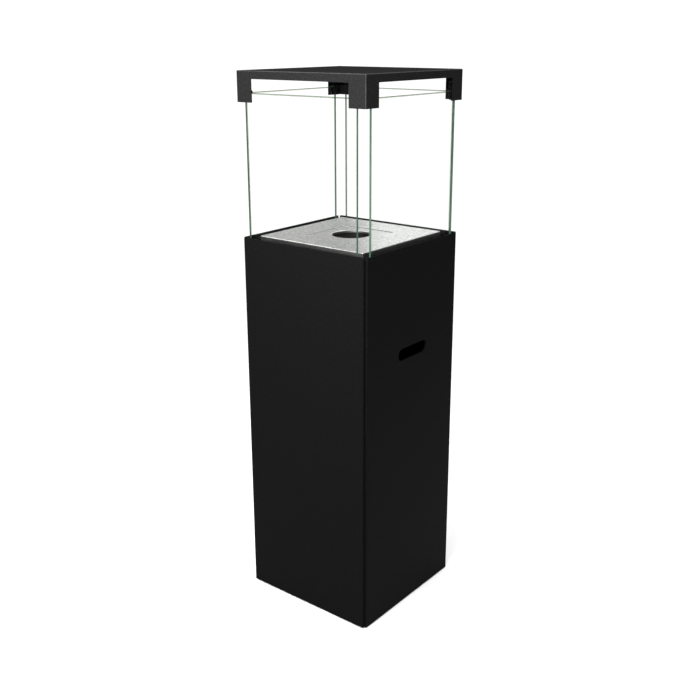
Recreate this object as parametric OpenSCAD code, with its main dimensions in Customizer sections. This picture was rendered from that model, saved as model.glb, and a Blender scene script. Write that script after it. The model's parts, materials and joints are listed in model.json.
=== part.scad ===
// Outdoor gas heater: a square steel column with a glass lantern and a flat cap.
// Millimetres. The origin is the middle of the footprint on the ground, +Z is up
// and the door faces -Y.

/* [Body] */
// Outside width and depth of the body, over the door and the rear panel
body_w = 400; // [390:5:480]
// Height of the steel panels
panel_h = 996; // [930:1200]
// Sheet thickness of the painted steel
sheet = 1.5; // [1.2:0.1:1.6]
// Outside radius of the folded sheet edges
bend_r = 2.5; // [2:0.1:2.8]
// How far the door and the rear panel stand in front of the side panels
proud = 8; // [8:0.5:14]
// Width of each side panel's edge that shows beside the door
seam = 6; // [5:0.5:10]
// Width of the long flanges of the side panels
flange_w = 26; // [24:36]
// Height of the feet below the panels
foot_gap = 3; // [2:8]

/* [Carrying slots] */
// Length of a carrying slot
slot_l = 124; // [90:160]
// Height of a carrying slot
slot_h = 33; // [24:44]
// Height of the slots' middle above the panels' lower edge
slot_z = 719; // [500:740]
// Depth of the turned-in collar around a slot
slot_collar = 6; // [4:10]

/* [Door] */
// Gap between the closed door and the side panels' flanges
door_gap = 1; // [0.8:0.1:1.5]
// Distance from the door's left edge to the hinge axis
hinge_in = 3.6; // [3.3:0.1:3.7]
// Distance from the door's face to the hinge axis
hinge_back = 3.95; // [3.7:0.05:4]
// Radius of the hinge pins
pin_r = 1.5; // [1.2:0.1:1.6]
// Radial clearance of everything that turns or slides on a pin
run = 0.05; // [0.02:0.01:0.1]
// Height of the lower hinge above the panels' lower edge
hinge_z_low = 72; // [40:200]
// Distance of the upper hinge below the rim
hinge_z_high = 75; // [60:200]

/* [Lantern] */
// Height from the body's rim to the top of the cap
lantern_h = 415; // [330:600]
// Thickness of the glass
glass_t = 5; // [4:6]
// Gap between a pane's free end and the next pane's corner
pane_gap = 13; // [10:0.5:20]
// Distance from the body's side to the middle of a pane
pane_in = 11.5; // [11.5:0.5:14]
// How far the panes stand up behind the cap's legs
pane_lap = 22.5; // [15:30]
// Depth of the recess around the burner tray, below the rim
recess_h = 15; // [12:20]

/* [Cap] */
// Sheet thickness of the cap
cap_t = 2; // [1.5:0.5:3]
// Height of the cap's skirt
skirt_h = 20; // [15:30]
// Height of the cap's corner legs, skirt included
leg_h = 76; // [66:90]
// Width of each wing of a corner leg
leg_w = 49; // [45:60]

/* [Burner] */
// Width of the recess between the body's side and the tray
recess_w = 33; // [32:45]
// Height of the tray above the body's rim
tray_up = 3; // [1:6]
// Sheet thickness of the stainless pieces
steel_t = 1.5; // [1:0.5:2]
// Width of the square pressed into the tray
dish_w = 156; // [150:200]
// Depth of that square
dish_h = 2; // [1:0.5:4]
// Radius of the flame opening
port_r = 50; // [46:54]
// Radius of the pot below the flame opening
pot_r = 62; // [60:66]
// Height of the pot
pot_h = 62; // [55:75]
// Radius of the burner head
head_r = 44; // [36:45]

/* [Controls] */
// Width of the recessed control panel in the rear panel
ctrl_w = 208; // [180:240]
// Height of the control panel
ctrl_h = 108; // [90:120]
// Depth of the control panel, from the rear face
ctrl_d = 40; // [36:50]
// Radius of the control knob
knob_r = 21; // [16:24]
// Travel of the control knob when it is pushed
push_travel = 3; // [2:4]
// Travel of the igniter button
button_travel = 6; // [4:7]
// Distance of the knob and of the igniter from the middle
ctrl_x = 45; // [35:60]

/* [Hidden] */
$fn = 48;
eps = 0.01;
half = body_w / 2;
z0 = foot_gap;
rim = z0 + panel_h;
carcass = half - proud;            // the side panels' front and rear faces
door_half = half - seam;
floor_z = rim - recess_h;          // top of the recess's floor
frame_z = floor_z - sheet;         // its underside
tray_half = half - recess_w;
tray_z = rim + tray_up;
cap_z = rim + lantern_h;
leg_z = cap_z - leg_h;
base_top = z0 + 7;
foot_at = half - 40;               // position of the feet, both ways
shelf_z = rim - 99;                // underside of the burner shelf
shelf_top = shelf_z + sheet;

// glass
pane_c = half - pane_in;           // middle plane of a pane
pane_out = pane_c + glass_t / 2;
pane_inn = pane_c - glass_t / 2;
pane_end = pane_inn - 5;           // the end that meets the next pane
pane_w = 2 * pane_end - pane_gap;
seat_base = 2;
seat_wall = 1.2;
seat_gap = 0.2;
seat_h = 7;
seat_end = 2;                      // a seat stops this far before the pane's ends
pane_z = floor_z + seat_base;
pane_top = leg_z + pane_lap;

// glass holders and their studs
holder_in = pane_inn - 2;          // inner face of a glass holder
pad_end = half - leg_w + 9;        // ends of a holder's pads and lips, behind the leg
lip_end = pad_end - 1;
holder_top = pane_top + 4;
stud_x = half - leg_w / 2 - 5;
stud_z = pane_top + 15.5;
stud_l = 7;
tab_top = stud_z + 8;
tab_w = 20;
tab_t = 2;
nut_h = 3.6;

// side panel details
rim_lip = seam + 2;                // width of the flange beside the glass
rim_notch = 6;                     // the flange stops this far below the rim
frame_gap = 0.5;                   // clearance of the frame between the flanges
frame_flange = 25;
frame_in = tray_half - 17;         // half width of the opening in the recess's floor
frame_lip = 15;

// door details
door_z = z0 + 1;
door_d = proud - door_gap;         // depth of the folded door
hinge_return = 5;                  // depth of its edge on the hinge side
hinge_x = -door_half + hinge_in;
hinge_y = -half + hinge_back;
hinge_zs = [z0 + hinge_z_low, rim - hinge_z_high];
tongue_h = 8;
tongue_gap = 1;
tongue_nose = hinge_back - sheet - 0.15;
knuckle_h = 12;
knuckle_w = 6.5;                   // from the door's turned edge to its inner end
knuckle_back = 0.4;                // behind the door's open back edge
plate_w = 14;
plate_h = 34;
plate_t = 1.6;
pin_l = tongue_h + 2 * (tongue_gap + knuckle_h);
stiff_x = 0.4 * half;
stiff_w = 30;
stiff_d = 10;
stiff_end = 55;                    // distance from the door's lower end
catch_w = 14;
catch_h = 40;
catch_z = z0 + panel_h / 2;
catch_x = half - flange_w + 1;
catch_face = 1.9;                  // how far the magnet looks out of the flange
catch_gap = 0.3;

// rear panel details
lip_w = 14;
screw_r = 2;
screw_hole_r = 2.2;
head_screw_r = 4;
head_screw_h = 2.5;
rear_screw_x = door_half - 9;
rear_screw_n = 4;
rear_screw_z0 = z0 + 110;
rear_screw_step = (panel_h - 230) / (rear_screw_n - 1);
vent_l = 110;
vent_h = 6;
vent_x = 75;
vent_zs = [for (i = [0 : 3]) z0 + 60 + 16 * i, for (i = [0 : 1]) shelf_top + 30 + 16 * i];
rear_lip = door_half - lip_w;      // inner edge of the lips behind the rear panel

// control panel
ctrl_z = shelf_z - 6 - ctrl_h / 2; // middle height
ctrl_lip = 12;
ctrl_floor = half - ctrl_d;        // outer face of its floor
ctrl_back = ctrl_floor - sheet;    // the face that the valve is fixed to
rivet_r = 2.4;
rivet_x = (ctrl_w + ctrl_lip) / 2;
rivet_z = (ctrl_h + ctrl_lip) / 2;

// valve, knob and igniter
spindle_r = 4;
spindle_in = 24;                   // how far it reaches into the valve
spindle_room = push_travel + 2;
spindle_out = 19;
knob_lift = push_travel + 1.5;     // clearance below the knob
knob_h = 22;
valve_w = 44;
valve_d = 44;
valve_h = 50;
boss_r = 8;                        // the valve's boss in the control panel
outlet_z = ctrl_z - 15;
tail_r = 4;
tail_l = 28;
tail_hex_h = 12;
piezo_r = 9;
piezo_l = 48;
piezo_flange_r = 13;
piezo_flange_h = 3;
button_r = 6;
button_up = button_travel + 2;
button_l = 20;

// burner
dish_top = tray_z - dish_h;
dish_under = dish_top - steel_t;
pot_z = dish_under - pot_h;
neck_r = 16;
neck_in = 13;
head_z = pot_z + 17;
head_h = 14;
tube_r = neck_in - 0.1;
tube_in = 11;
bracket_z = shelf_z - 44;          // top of the injector bracket's foot
bracket_t = 2;
bracket_w = 16;
bracket_x = 20;
injector_r = 6;
probe_at = (pot_r + head_r) / 2;   // radius of the electrode and the probe
probe_l = 52;
probe_low = 8;                     // how far the probe reaches below the pot
lead_r = 1.6;
gas_r = 4;
gas_z = outlet_z;
lead_hole_r = 6;

// ---- helpers ----

// A box from its lowest corner to its highest
module block(a, b) {
    translate(a) cube([b[0] - a[0], b[1] - a[1], b[2] - a[2]]);
}

// A rectangle, centred on x, whose two corners at y = 0 are round
module round_front(w, d, r) {
    translate([-w / 2, r]) square([w, d - r]);
    translate([-w / 2 + r, 0]) square([w - 2 * r, d]);
    for (s = [-1, 1]) translate([s * (w / 2 - r), r]) circle(r);
}

// Plan of a sheet whose two long edges are folded back; the outer face is y = 0
module folded(w, d, t, r) {
    difference() {
        round_front(w, d, r);
        translate([0, t]) round_front(w - 2 * t, d, r - t);
    }
}

// A slot with round ends, its length along x
module slot2d(l, h) {
    square([l - h, h], center = true);
    for (s = [-1, 1]) translate([s * (l - h) / 2, 0]) circle(h / 2);
}

// A rod along Y, from y = a to y = b
module rod_y(r, a, b) {
    translate([0, a, 0]) rotate([-90, 0, 0]) cylinder(r = r, h = b - a);
}

// A round wire through a list of points
module wire(p, r) {
    for (i = [0 : len(p) - 2]) {
        d = p[i + 1] - p[i];
        l = norm(d);
        translate(p[i]) rotate([0, acos(d[2] / l), atan2(d[1], d[0])])
            cylinder(r = r, h = l);
    }
    for (i = [1 : len(p) - 2]) translate(p[i]) sphere(r);
}

// Clears the four corners of a sheet that sits inside the side panels' bends
module corner_reliefs(x, y, z1, z2) {
    for (sx = [0, 1], sy = [0, 1]) mirror([sx, 0, 0]) mirror([0, sy, 0])
        block([x - bend_r, y - bend_r, z1], [x + 1, y + 1, z2]);
}

// Places its children at the four corners of a square, a quarter turn apart
module four(a) {
    for (i = [0 : 3]) rotate([0, 0, 90 * i]) translate([a, a, 0]) children();
}

// Places its children at the four rivets of the control panel
module at_rivets() {
    for (sx = [-1, 1], sz = [-1, 1]) translate([sx * rivet_x, 0, ctrl_z + sz * rivet_z]) children();
}

// Places its children at the screws of the rear panel on one side
module at_rear_screws(s) {
    for (i = [0 : rear_screw_n - 1])
        translate([s * rear_screw_x, 0, rear_screw_z0 + i * rear_screw_step]) children();
}

// ---- base ----

module base_plate() {
    wide = half - sheet;
    deep = carcass - sheet;
    up = 22;
    vent_x = 44;
    color("#2b2b2b") difference() {
        union() {
            block([-wide, -deep, base_top - sheet], [wide, deep, base_top]);
            for (s = [0, 1]) mirror([s, 0, 0])
                block([wide - sheet, -deep, base_top], [wide, deep, base_top + up]);
        }
        for (i = [-2 : 2]) translate([i * vent_x, 0, base_top - sheet - eps])
            rotate([0, 0, 90]) linear_extrude(sheet + 2 * eps) slot2d(90, 8);
        corner_reliefs(wide, deep, base_top - sheet - 1, base_top + up + 1);
        four(foot_at) translate([0, 0, base_top - sheet - eps])
            cylinder(r = screw_hole_r, h = sheet + 2 * eps);
    }
}

module rubber_feet() {
    sunk = 2.5;
    color("#1a1a1a") four(foot_at) difference() {
        cylinder(r1 = 15, r2 = 17, h = base_top - sheet);
        translate([0, 0, -eps]) cylinder(r = head_screw_r + 1, h = sunk + eps);
        cylinder(r = screw_hole_r, h = base_top);
    }
}

module foot_screws() {
    under = 1;
    head = 1.5;
    color("silver") four(foot_at) {
        translate([0, 0, under]) cylinder(r = head_screw_r, h = head);
        translate([0, 0, under + head]) cylinder(r = screw_r, h = base_top + 1.5);
    }
}

module bottle_ring() {
    ring_r = 161;
    ring_h = 12;
    color("#2b2b2b") translate([0, 0, base_top]) difference() {
        cylinder(r = ring_r, h = ring_h, $fn = 96);
        translate([0, 0, -eps]) cylinder(r = ring_r - 3, h = ring_h + 2 * eps, $fn = 96);
    }
}

// ---- side panels ----

module side_panel() {
    inner = half - flange_w;
    difference() {
        union() {
            translate([half, 0, z0]) rotate([0, 0, 90])
                linear_extrude(panel_h) folded(2 * carcass, flange_w, sheet, bend_r);
            translate([half - slot_collar, 0, z0 + slot_z]) rotate([90, 0, 90])
                linear_extrude(slot_collar - eps) slot2d(slot_l + 2 * sheet, slot_h + 2 * sheet);
        }
        block([inner - 1, -half, frame_z], [half - rim_lip, half, rim + 1]);
        block([inner - 1, -half, rim - rim_notch], [half - sheet, half, rim + 1]);
        translate([half - slot_collar - 1, 0, z0 + slot_z]) rotate([90, 0, 90])
            linear_extrude(slot_collar + 2) slot2d(slot_l, slot_h);
        at_rear_screws(1) rod_y(screw_hole_r, carcass - 2 * sheet, half);
    }
}

module side_panel_right() {
    color("#232323") difference() {
        side_panel();
        block([catch_x - 0.5, -half, catch_z - catch_h / 2 - 0.5],
            [catch_x + catch_w + 0.5, -carcass + 2 * sheet, catch_z + catch_h / 2 + 0.5]);
    }
}

module side_panel_left() {
    color("#232323") mirror([1, 0, 0]) side_panel();
}

// ---- rear panel ----

module rear_panel() {
    color("#232323") difference() {
        union() {
            translate([0, half, z0]) mirror([0, 1, 0])
                linear_extrude(panel_h) folded(2 * door_half, proud, sheet, bend_r);
            for (z = [z0, rim - sheet]) translate([0, half, z]) mirror([0, 1, 0])
                linear_extrude(sheet) round_front(2 * door_half, proud, bend_r);
            for (s = [0, 1]) mirror([s, 0, 0])
                block([rear_lip, carcass, z0], [door_half - sheet + eps, carcass + sheet, frame_z]);
        }
        block([-ctrl_w / 2, half - 2 * sheet, ctrl_z - ctrl_h / 2],
            [ctrl_w / 2, half + 1, ctrl_z + ctrl_h / 2]);
        for (s = [-1, 1]) at_rear_screws(s) rod_y(screw_hole_r, carcass - 1, carcass + 2 * sheet);
        for (s = [-1, 1], z = vent_zs) translate([s * vent_x, half + 1, z])
            rotate([90, 0, 0]) linear_extrude(2 * sheet + 1) slot2d(vent_l, vent_h);
        at_rivets() rod_y(rivet_r, half - 2 * sheet, half + 1);
    }
}

module rear_panel_screws() {
    back = carcass - sheet;
    color("silver") for (s = [-1, 1]) at_rear_screws(s) {
        rod_y(head_screw_r, back - head_screw_h, back);
        rod_y(screw_r, back, carcass + sheet + 3);
    }
}

// ---- door ----

module front_door() {
    edge = -half + hinge_return;
    color("#232323") difference() {
        union() {
            translate([0, -half, door_z])
                linear_extrude(rim - door_z) folded(2 * door_half, door_d, sheet, bend_r);
            for (z = [door_z, rim - sheet]) translate([0, -half, z])
                linear_extrude(sheet) round_front(2 * door_half, door_d, bend_r);
        }
        block([-half, edge, door_z - 1], [hinge_x + 0.5, -carcass + 1, rim + 1]);
        for (z = hinge_zs)
            block([-half, -half + sheet + 0.3, z - tongue_h / 2 - tongue_gap],
                [-door_half + sheet + 0.5, edge + 1, z + tongue_h / 2 + tongue_gap]);
    }
}

module door_stiffeners() {
    inside = -half + sheet;
    z1 = door_z + stiff_end;
    z2 = shelf_z - 20;
    w = stiff_w / 2;
    color("#333333") for (s = [-1, 1]) translate([s * stiff_x, inside, 0]) difference() {
        block([-w, 0, z1], [w, stiff_d, z2]);
        block([-w + sheet, -1, z1 - 1], [w - sheet, stiff_d - sheet, z2 + 1]);
    }
}

module door_knuckles() {
    left = -door_half + sheet;
    front = -half + sheet;
    back = -half + door_d - knuckle_back;
    color("#333333") for (z = hinge_zs, s = [-1, 1])
        translate([0, 0, z + s * (tongue_h / 2 + tongue_gap + knuckle_h / 2) - knuckle_h / 2])
            difference() {
                linear_extrude(knuckle_h) polygon([[left, front + bend_r], [left + bend_r, front],
                    [left + knuckle_w, front], [left + knuckle_w, back], [hinge_x, back],
                    [left, -half + hinge_return]]);
                translate([hinge_x, hinge_y, -1]) cylinder(r = pin_r + run, h = knuckle_h + 2);
            }
}

module door_strike() {
    color("silver") block([catch_x, -half + sheet, catch_z - catch_h / 2],
        [catch_x + catch_w, -carcass - catch_face - catch_gap, catch_z + catch_h / 2]);
}

module hinge_bracket(z) {
    plate_x = -door_half + sheet + knuckle_w + 0.8;
    color("#333333") difference() {
        union() {
            block([plate_x, -carcass - plate_t, z - plate_h / 2],
                [plate_x + plate_w, -carcass, z + plate_h / 2]);
            block([hinge_x, hinge_y - tongue_nose, z - tongue_h / 2],
                [plate_x + plate_w, -carcass - plate_t, z + tongue_h / 2]);
            block([hinge_x - pin_r / 2, hinge_y, z - tongue_h / 2],
                [plate_x + eps, -carcass, z + tongue_h / 2]);
            translate([hinge_x, hinge_y, z - tongue_h / 2]) cylinder(r = tongue_nose, h = tongue_h);
        }
        translate([hinge_x, hinge_y, z - tongue_h]) cylinder(r = pin_r, h = 2 * tongue_h);
    }
}

module hinge_pins() {
    color("silver") for (z = hinge_zs)
        translate([hinge_x, hinge_y, z - pin_l / 2]) cylinder(r = pin_r, h = pin_l);
}

module door_magnet() {
    color("#1a1a1a") block([catch_x, -carcass - catch_face, catch_z - catch_h / 2],
        [catch_x + catch_w, -carcass + 12, catch_z + catch_h / 2]);
}

// ---- recess and glass ----

module top_frame() {
    wide = half - sheet;
    side = half - flange_w - frame_gap;
    low = frame_z - frame_flange;
    deep = carcass - bend_r - frame_gap;
    color("#2b2b2b") difference() {
        union() {
            block([-wide, -carcass, frame_z], [wide, carcass, floor_z]);
            for (s = [0, 1]) {
                mirror([0, s, 0]) block([-side, carcass - sheet, low], [side, carcass, frame_z + eps]);
                mirror([s, 0, 0]) block([wide - sheet, -deep, low], [wide, deep, frame_z + eps]);
            }
            block([-frame_in - sheet, -frame_in - sheet, frame_z - frame_lip],
                [frame_in + sheet, frame_in + sheet, frame_z + eps]);
        }
        block([-frame_in, -frame_in, frame_z - frame_lip - 1], [frame_in, frame_in, floor_z + 1]);
        for (sx = [0, 1], sy = [0, 1]) mirror([sx, 0, 0]) mirror([0, sy, 0])
            block([half - rim_lip - frame_gap, deep, frame_z - 1], [half, half, floor_z + 1]);
    }
}

// A U-shaped seat below the pane on the -Y side, running along X
module glass_seat(turn) {
    out = pane_out + seat_gap + seat_wall;
    inn = pane_inn - seat_gap - seat_wall;
    color("#1a1a1a") rotate([0, 0, turn]) mirror([turn % 180 == 0 ? 0 : 1, 0, 0]) difference() {
        block([-pane_end + seat_end, -out, floor_z],
            [-pane_end + pane_w - seat_end, -inn, floor_z + seat_h]);
        block([-half, -pane_out - seat_gap, pane_z], [half, -pane_inn + seat_gap, rim]);
    }
}

// The pane on the -Y side; it reaches the -X corner and stops short of the +X corner
module pane(turn) {
    color([0.75, 0.9, 0.85, 0.35]) rotate([0, 0, turn]) mirror([turn % 180 == 0 ? 0 : 1, 0, 0])
        block([-pane_end, -pane_out, pane_z], [-pane_end + pane_w, -pane_inn, pane_top]);
}

// ---- cap ----

module cap() {
    inside = half - cap_t;
    gap = half - leg_w;
    color("#2f2f2f") {
        difference() {
            block([-half, -half, leg_z], [half, half, cap_z]);
            block([-inside, -inside, leg_z - 1], [inside, inside, cap_z - cap_t]);
            block([-gap, -half - 1, leg_z - 1], [gap, half + 1, cap_z - skirt_h]);
            block([-half - 1, -gap, leg_z - 1], [half + 1, gap, cap_z - skirt_h]);
        }
        for (i = [0 : 3], s = [-1, 1]) rotate([0, 0, 90 * i])
            translate([s * stud_x, 0, stud_z]) rod_y(screw_r, inside - stud_l, inside + eps);
    }
}

// One wing of a glass holder, along X: a pad outside the pane, a short jaw inside it, a lip
// over its upper edge and a tab for the stud
module holder_wing(jaw_end) {
    inside = half - cap_t;
    low = leg_z + 1;
    tab = tab_w / 2;
    difference() {
        union() {
            block([-inside, -inside, low], [-pad_end, -pane_out, holder_top]);
            block([-inside, -inside, low], [-jaw_end, -holder_in, holder_top]);
            block([-inside, -inside, pane_top], [-lip_end, -pane_inn, holder_top]);
            block([-stud_x - tab, -inside, holder_top - eps], [-stud_x + tab, -inside + tab_t, tab_top]);
        }
        translate([-stud_x, 0, stud_z]) rod_y(screw_hole_r, -half, -inside + tab_t + 1);
    }
}

// Holder inside a leg of the cap; its jaws reach further where the panes stop short of the corner
module glass_holder(sx, sy) {
    slack = 0.15;
    jaw_end = sx == sy ? pad_end + 4 : pad_end - 4;
    color("#1a1a1a") difference() {
        mirror([sx > 0 ? 1 : 0, 0, 0]) mirror([0, sy > 0 ? 1 : 0, 0]) {
            holder_wing(jaw_end);
            mirror([1, -1, 0]) holder_wing(jaw_end);
        }
        for (turn = [0, 90, 180, 270]) rotate([0, 0, turn])
            mirror([turn % 180 == 0 ? 0 : 1, 0, 0])
                block([-pane_end - slack, -pane_out - slack, leg_z - 3],
                    [-pane_end + pane_w + slack, -pane_inn + slack, pane_top]);
    }
}

module holder_nuts() {
    inside = half - cap_t - tab_t;
    color("#1a1a1a") for (i = [0 : 3], s = [-1, 1]) rotate([0, 0, 90 * i])
        translate([s * stud_x, inside, stud_z]) rotate([90, 0, 0]) difference() {
            union() {
                cylinder(r = 4.6, h = 1);
                cylinder(r = 4, h = nut_h, $fn = 6);
            }
            translate([0, 0, -eps]) cylinder(r = screw_r, h = 5);
        }
}

// ---- burner ----

module burner_tray() {
    dish = dish_w / 2;
    color("#a8a8a8") difference() {
        block([-tray_half, -tray_half, floor_z], [tray_half, tray_half, tray_z]);
        difference() {
            block([-tray_half + steel_t, -tray_half + steel_t, floor_z - 1],
                [tray_half - steel_t, tray_half - steel_t, tray_z - steel_t]);
            block([-dish - steel_t, -dish - steel_t, dish_under], [dish + steel_t, dish + steel_t, tray_z]);
            translate([0, 0, dish_under - 6]) cylinder(r = port_r + steel_t, h = 10, $fn = 96);
        }
        block([-dish, -dish, dish_top], [dish, dish, tray_z + 1]);
        translate([0, 0, floor_z]) cylinder(r = port_r, h = 2 * recess_h, $fn = 96);
    }
}

module burner_pot() {
    flange = pot_r + 10;
    air_r = 4;
    air_z = 9;
    color("#8c8c8c") translate([0, 0, pot_z]) difference() {
        union() {
            cylinder(r = pot_r, h = pot_h, $fn = 96);
            translate([0, 0, pot_h - steel_t]) linear_extrude(steel_t)
                square(2 * flange, center = true);
        }
        translate([0, 0, steel_t]) cylinder(r = pot_r - steel_t, h = pot_h, $fn = 96);
        translate([0, 0, -1]) cylinder(r = neck_r + 0.1, h = 5);
        translate([probe_at, 0, -1]) cylinder(r = 4.2, h = 5);
        translate([0, probe_at, -1]) cylinder(r = 2.7, h = 5);
        for (i = [0 : 11]) rotate([0, 0, 15 + 30 * i]) translate([pot_r - 4, 0, air_z])
            rotate([0, 90, 0]) cylinder(r = air_r, h = 8);
    }
}

module burner_head() {
    wall = 2;
    neck_h = 30;
    hole_r = 1.5;
    color("#6f6f6f") translate([0, 0, head_z]) difference() {
        union() {
            cylinder(r = head_r, h = head_h, $fn = 96);
            translate([0, 0, -neck_h]) cylinder(r = neck_r, h = neck_h + 1);
        }
        translate([0, 0, wall]) cylinder(r = head_r - wall, h = head_h - 2 * wall, $fn = 96);
        translate([0, 0, -neck_h - 1]) cylinder(r = neck_in, h = neck_h + wall + 2);
        for (i = [0 : 23]) rotate([0, 0, 15 * i]) translate([head_r - 8, 0, wall + 1])
            cylinder(r = hole_r, h = head_h);
        for (i = [0 : 11]) rotate([0, 0, 30 * i]) translate([head_r / 2, 0, wall + 1])
            cylinder(r = hole_r, h = head_h);
    }
}

module mixing_tube() {
    top = head_z - 4;
    color("#9a9a9a") difference() {
        translate([0, 0, bracket_z]) cylinder(r = tube_r, h = top - bracket_z);
        translate([0, 0, bracket_z + 2]) cylinder(r = tube_in, h = top - bracket_z);
        translate([0, 0, bracket_z - 1]) cylinder(r = injector_r + 0.1, h = 5);
        for (a = [0, 90]) rotate([0, 0, a]) translate([0, 0, bracket_z + 16])
            cube([3 * tube_r, 9, 16], center = true);
    }
}

module injector() {
    color("#b08d3c") difference() {
        union() {
            translate([0, 0, bracket_z - 14]) cylinder(r = injector_r, h = 20);
            translate([0, 0, bracket_z - bracket_t - 6]) cylinder(r = 9, h = 6, $fn = 6);
            translate([0, 0, bracket_z + 6 - eps]) cylinder(r1 = 4, r2 = 2, h = 6);
        }
        translate([0, 0, bracket_z]) cylinder(r = 0.6, h = 20);
    }
}

module injector_bracket() {
    color("#8c8c8c") difference() {
        union() {
            block([-bracket_x, -bracket_w / 2, bracket_z - bracket_t],
                [bracket_x, bracket_w / 2, bracket_z]);
            for (s = [0, 1]) mirror([s, 0, 0]) {
                block([bracket_x - bracket_t, -bracket_w / 2, bracket_z - eps],
                    [bracket_x, bracket_w / 2, shelf_z]);
                block([bracket_x - eps, -bracket_w / 2, shelf_z - bracket_t],
                    [bracket_x + 14, bracket_w / 2, shelf_z]);
            }
        }
        translate([0, 0, bracket_z - 5]) cylinder(r = injector_r + 0.1, h = 10);
    }
}

module burner_shelf() {
    wide = half - sheet;
    deep = carcass - sheet;
    down = 18;
    air_x = 120;
    air_y = 60;
    color("#777777") difference() {
        union() {
            block([-wide, -deep, shelf_z], [wide, deep, shelf_top]);
            for (s = [0, 1]) mirror([s, 0, 0])
                block([wide - sheet, -deep, shelf_z - down], [wide, deep, shelf_z + eps]);
        }
        translate([0, 0, shelf_z - 1]) cylinder(r = neck_r, h = 4);
        for (p = [[probe_at, 0], [0, probe_at]])
            translate([p[0], p[1], shelf_z - 1]) cylinder(r = lead_hole_r, h = 4);
        for (s = [-1, 1], i = [-1 : 1]) translate([s * air_x, i * air_y, shelf_z - 1])
            linear_extrude(4) slot2d(70, 10);
        corner_reliefs(wide, deep, shelf_z - down - 1, shelf_top + 1);
    }
}

// ---- probe and leads ----

module thermocouple() {
    foot = pot_z - probe_low;
    drop = shelf_z - 18;
    valve_y = ctrl_back - valve_d / 2;
    color("#b08d3c") {
        translate([0, probe_at, foot]) cylinder(r = 2.5, h = probe_l);
        wire([[0, probe_at, foot], [0, probe_at, drop], [0, valve_y, drop],
            [-ctrl_x, valve_y, drop], [-ctrl_x, valve_y, ctrl_z + valve_h / 2]], lead_r);
    }
}

module igniter_electrode() {
    foot = pot_z - probe_low;
    collar = 5;
    tip = 10;
    color("white") translate([probe_at, 0, foot]) {
        cylinder(r = 4, h = probe_l - tip + 2);
        translate([0, 0, probe_low - collar]) cylinder(r = 6, h = collar);
        translate([0, 0, probe_l - tip + 2 - eps]) cylinder(r = 1.2, h = tip);
    }
}

module igniter_lead() {
    foot = pot_z - probe_low;
    drop = shelf_z - 25;
    end = ctrl_back - piezo_l;
    turn = end - 20;
    color("#8a1f1f") wire([[probe_at, 0, foot], [probe_at, 0, drop], [probe_at, turn, drop],
        [probe_at, turn, ctrl_z], [ctrl_x, turn, ctrl_z], [ctrl_x, end, ctrl_z]], lead_r);
}

// ---- gas parts ----

module gas_tube() {
    outlet = ctrl_back - valve_d;
    top = bracket_z - 14;
    color("#c0c0c0")
        wire([[0, 0, top], [0, 0, gas_z], [-ctrl_x, 0, gas_z], [-ctrl_x, outlet, gas_z]], gas_r);
}

module tube_nuts() {
    outlet = ctrl_back - valve_d;
    color("#b08d3c") {
        translate([0, 0, bracket_z - 24]) difference() {
            cylinder(r = 8, h = 10, $fn = 6);
            translate([0, 0, -1]) cylinder(r = gas_r, h = 12);
        }
        translate([-ctrl_x, outlet - 12, gas_z]) rotate([-90, 0, 0]) difference() {
            cylinder(r = 8, h = 12, $fn = 6);
            translate([0, 0, -1]) cylinder(r = gas_r, h = 14);
        }
    }
}

module gas_valve() {
    front = ctrl_back - valve_d;
    color("#9fa3a6") translate([-ctrl_x, 0, ctrl_z]) difference() {
        union() {
            block([-valve_w / 2, front, -valve_h / 2], [valve_w / 2, ctrl_back, valve_h / 2]);
            rod_y(boss_r, ctrl_back - eps, ctrl_floor);
        }
        rod_y(spindle_r + run, ctrl_back - spindle_in - spindle_room, half);
    }
}

module hose_tail() {
    y = ctrl_back - valve_d / 2;
    top = ctrl_z - valve_h / 2;
    color("#b08d3c") translate([-ctrl_x, y, top]) difference() {
        union() {
            translate([0, 0, -tail_hex_h]) cylinder(r = 10, h = tail_hex_h, $fn = 6);
            translate([0, 0, -tail_hex_h - tail_l]) cylinder(r = tail_r, h = tail_l + eps);
        }
        translate([0, 0, -tail_hex_h - tail_l - 1]) cylinder(r = tail_r - 1.5, h = tail_l);
    }
}

module valve_spindle() {
    color("silver") translate([-ctrl_x, 0, ctrl_z])
        rod_y(spindle_r, ctrl_back - spindle_in, ctrl_floor + spindle_out);
}

module control_knob() {
    y = ctrl_floor + knob_lift;
    skirt = 8;
    grip = 8;
    color("#1a1a1a") translate([-ctrl_x, y, ctrl_z]) difference() {
        union() {
            rod_y(knob_r, 0, skirt);
            rod_y(knob_r - 5, 0, knob_h - 2);
            block([-grip / 2, 0, -knob_r + 1], [grip / 2, knob_h, knob_r - 1]);
        }
        rod_y(spindle_r + run, -1, spindle_out - knob_lift + run);
    }
}

module piezo_body() {
    color("#1a1a1a") translate([ctrl_x, 0, ctrl_z]) difference() {
        union() {
            rod_y(piezo_r, ctrl_back - piezo_l, ctrl_floor + piezo_flange_h);
            rod_y(piezo_flange_r, ctrl_floor, ctrl_floor + piezo_flange_h);
        }
        rod_y(button_r + run, ctrl_floor + button_up - button_l - button_travel - 1, half);
    }
}

module piezo_nut() {
    color("#1a1a1a") translate([ctrl_x, ctrl_back - 5, ctrl_z]) rotate([-90, 0, 0]) difference() {
        cylinder(r = 14, h = 5, $fn = 6);
        translate([0, 0, -1]) cylinder(r = piezo_r, h = 7);
    }
}

module piezo_button() {
    y = ctrl_floor + button_up;
    color("#b3261e") translate([ctrl_x, 0, ctrl_z]) rod_y(button_r, y - button_l, y);
}

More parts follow.
